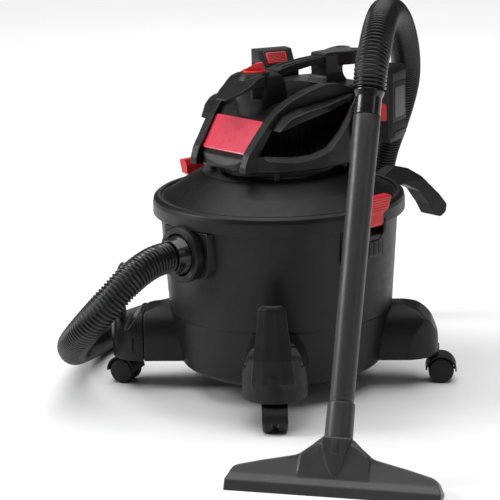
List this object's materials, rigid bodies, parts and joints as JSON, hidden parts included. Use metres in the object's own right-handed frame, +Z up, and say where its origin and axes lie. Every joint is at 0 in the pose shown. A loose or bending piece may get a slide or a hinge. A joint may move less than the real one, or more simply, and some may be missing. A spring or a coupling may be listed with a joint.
{
  "type": "cordless wet and dry drum vacuum",
  "caption": "Cordless drum vacuum on swivel casters with a lift-off motor head, side latches, battery packs, ribbed hose, wand and wide floor nozzle.",
  "frame": {"origin": "on the floor, in the middle of the footprint of the vacuum without its hose, wand and nozzle; the drum's axis is 72.85 mm in front of it", "axes": "+Z up, -Y to the front where the hose inlet and the red panel face, +X to the right seen from the front"},
  "size_m": [0.9509, 0.749, 0.6141],
  "materials": {
    "body_plastic": "fine-grained satin charcoal moulding",
    "dark_plastic": "fine-grained near-black moulding",
    "accessory_plastic": "satin dark grey moulding",
    "red_plastic": "semi-gloss red moulding",
    "panel_plastic": "smooth coral red badge panel",
    "hose_plastic": "ribbed black flexible hose",
    "wheel_plastic": "hard black wheel",
    "seal_rubber": "soft black gasket",
    "filter_paper": "pleated filter paper",
    "motor_metal": "cast motor can",
    "pin_steel": "plain steel pin",
    "board_green": "printed circuit board"
  },
  "bodies": {
    "drum": {"tank": "body_plastic", "foot_cap_right": "body_plastic", "foot_cap_left": "body_plastic", "inlet_port": "body_plastic", "inlet_deflector": "dark_plastic", "latch_pin_right": "pin_steel", "latch_pin_left": "pin_steel", "rear_hook": "body_plastic", "hose": "hose_plastic", "hose_cuff_tank": "dark_plastic", "hose_cuff_wand": "dark_plastic", "wand_upper": "accessory_plastic", "wand_lower": "accessory_plastic", "floor_nozzle": "accessory_plastic"},
    "head": {"lid": "body_plastic", "lid_seal": "seal_rubber", "motor_plate": "dark_plastic", "motor_cover": "body_plastic", "motor_shroud": "dark_plastic", "front_panel": "panel_plastic", "side_band_right": "body_plastic", "side_band_left": "body_plastic", "switch_hub": "body_plastic", "handle_bar": "body_plastic", "rear_post": "body_plastic", "battery_dock_right": "body_plastic", "battery_dock_left": "body_plastic", "motor": "motor_metal", "impeller_housing": "dark_plastic", "control_board": "board_green", "filter_cage": "dark_plastic", "filter": "filter_paper", "filter_retainer": "accessory_plastic"},
    "dial": {"power_dial": "red_plastic"},
    "rotor": {"impeller": "motor_metal"},
    "float": {"float_ball": "accessory_plastic"},
    "battery_right": {"battery_right": "dark_plastic"},
    "battery_button_right": {"battery_button_right": "red_plastic"},
    "latch_right": {"latch_right": "red_plastic"},
    "battery_left": {"battery_left": "dark_plastic"},
    "battery_button_left": {"battery_button_left": "red_plastic"},
    "latch_left": {"latch_left": "red_plastic"},
    "caster_front_right": {"caster_fork_front_right": "dark_plastic"},
    "wheels_front_right": {"caster_wheels_front_right": "wheel_plastic"},
    "caster_front_left": {"caster_fork_front_left": "dark_plastic"},
    "wheels_front_left": {"caster_wheels_front_left": "wheel_plastic"},
    "caster_rear_right": {"caster_fork_rear_right": "dark_plastic"},
    "wheels_rear_right": {"caster_wheels_rear_right": "wheel_plastic"},
    "caster_rear_left": {"caster_fork_rear_left": "dark_plastic"},
    "wheels_rear_left": {"caster_wheels_rear_left": "wheel_plastic"}
  },
  "joints": [
    {"name": "head_lift", "type": "slide", "parent": "drum", "child": "head", "axis": [0, 0, 1], "range_m": [0, 0.02]},
    {"name": "dial_turn", "type": "hinge", "parent": "head", "child": "dial", "pos_m": [0, -0.11885, 0.506], "axis": [0, 0, 1], "range_deg": [0, 90]},
    {"name": "rotor_spin", "type": "hinge", "parent": "head", "child": "rotor", "pos_m": [0, -0.07285, 0.335], "axis": [0, 0, 1], "continuous": true},
    {"name": "float_rise", "type": "slide", "parent": "head", "child": "float", "axis": [0, 0, 1], "range_m": [0, 0.06]},
    {"name": "battery_slide_right", "type": "slide", "parent": "head", "child": "battery_right", "axis": [0, 0, 1], "range_m": [0, 0.025]},
    {"name": "battery_button_press_right", "type": "slide", "parent": "battery_right", "child": "battery_button_right", "axis": [0.7845, 0.2917, -0.5472], "range_m": [0, 0.003], "stiffness_N_per_m": 800},
    {"name": "latch_swing_right", "type": "hinge", "parent": "drum", "child": "latch_right", "pos_m": [0.2045, -0.06785, 0.289], "axis": [0, 1, 0], "range_deg": [0, 65]},
    {"name": "battery_slide_left", "type": "slide", "parent": "head", "child": "battery_left", "axis": [0, 0, 1], "range_m": [0, 0.025]},
    {"name": "battery_button_press_left", "type": "slide", "parent": "battery_left", "child": "battery_button_left", "axis": [-0.7845, 0.2917, -0.5472], "range_m": [0, 0.003], "stiffness_N_per_m": 800},
    {"name": "latch_swing_left", "type": "hinge", "parent": "drum", "child": "latch_left", "pos_m": [-0.2045, -0.06785, 0.289], "axis": [0, -1, 0], "range_deg": [0, 65]},
    {"name": "caster_swivel_front_right", "type": "hinge", "parent": "drum", "child": "caster_front_right", "pos_m": [0.16758, -0.24043, 0.05], "axis": [0, 0, 1], "continuous": true},
    {"name": "caster_roll_front_right", "type": "hinge", "parent": "caster_front_right", "child": "wheels_front_right", "pos_m": [0.1774, -0.24896, 0.02], "axis": [-0.6561, -0.7547, 0], "continuous": true},
    {"name": "caster_swivel_front_left", "type": "hinge", "parent": "drum", "child": "caster_front_left", "pos_m": [-0.16758, -0.24043, 0.05], "axis": [0, 0, 1], "continuous": true},
    {"name": "caster_roll_front_left", "type": "hinge", "parent": "caster_front_left", "child": "wheels_front_left", "pos_m": [-0.17955, -0.24551, 0.02], "axis": [-0.3907, 0.9205, 0], "continuous": true},
    {"name": "caster_swivel_rear_right", "type": "hinge", "parent": "drum", "child": "caster_rear_right", "pos_m": [0.16758, 0.09473, 0.05], "axis": [0, 0, 1], "continuous": true},
    {"name": "caster_roll_rear_right", "type": "hinge", "parent": "caster_rear_right", "child": "wheels_rear_right", "pos_m": [0.17678, 0.10393, 0.02], "axis": [0.7071, -0.7071, 0], "continuous": true},
    {"name": "caster_swivel_rear_left", "type": "hinge", "parent": "drum", "child": "caster_rear_left", "pos_m": [-0.16758, 0.09473, 0.05], "axis": [0, 0, 1], "continuous": true},
    {"name": "caster_roll_rear_left", "type": "hinge", "parent": "caster_rear_left", "child": "wheels_rear_left", "pos_m": [-0.15537, 0.09918, 0.02], "axis": [0.342, -0.9397, 0], "continuous": true}
  ]
}
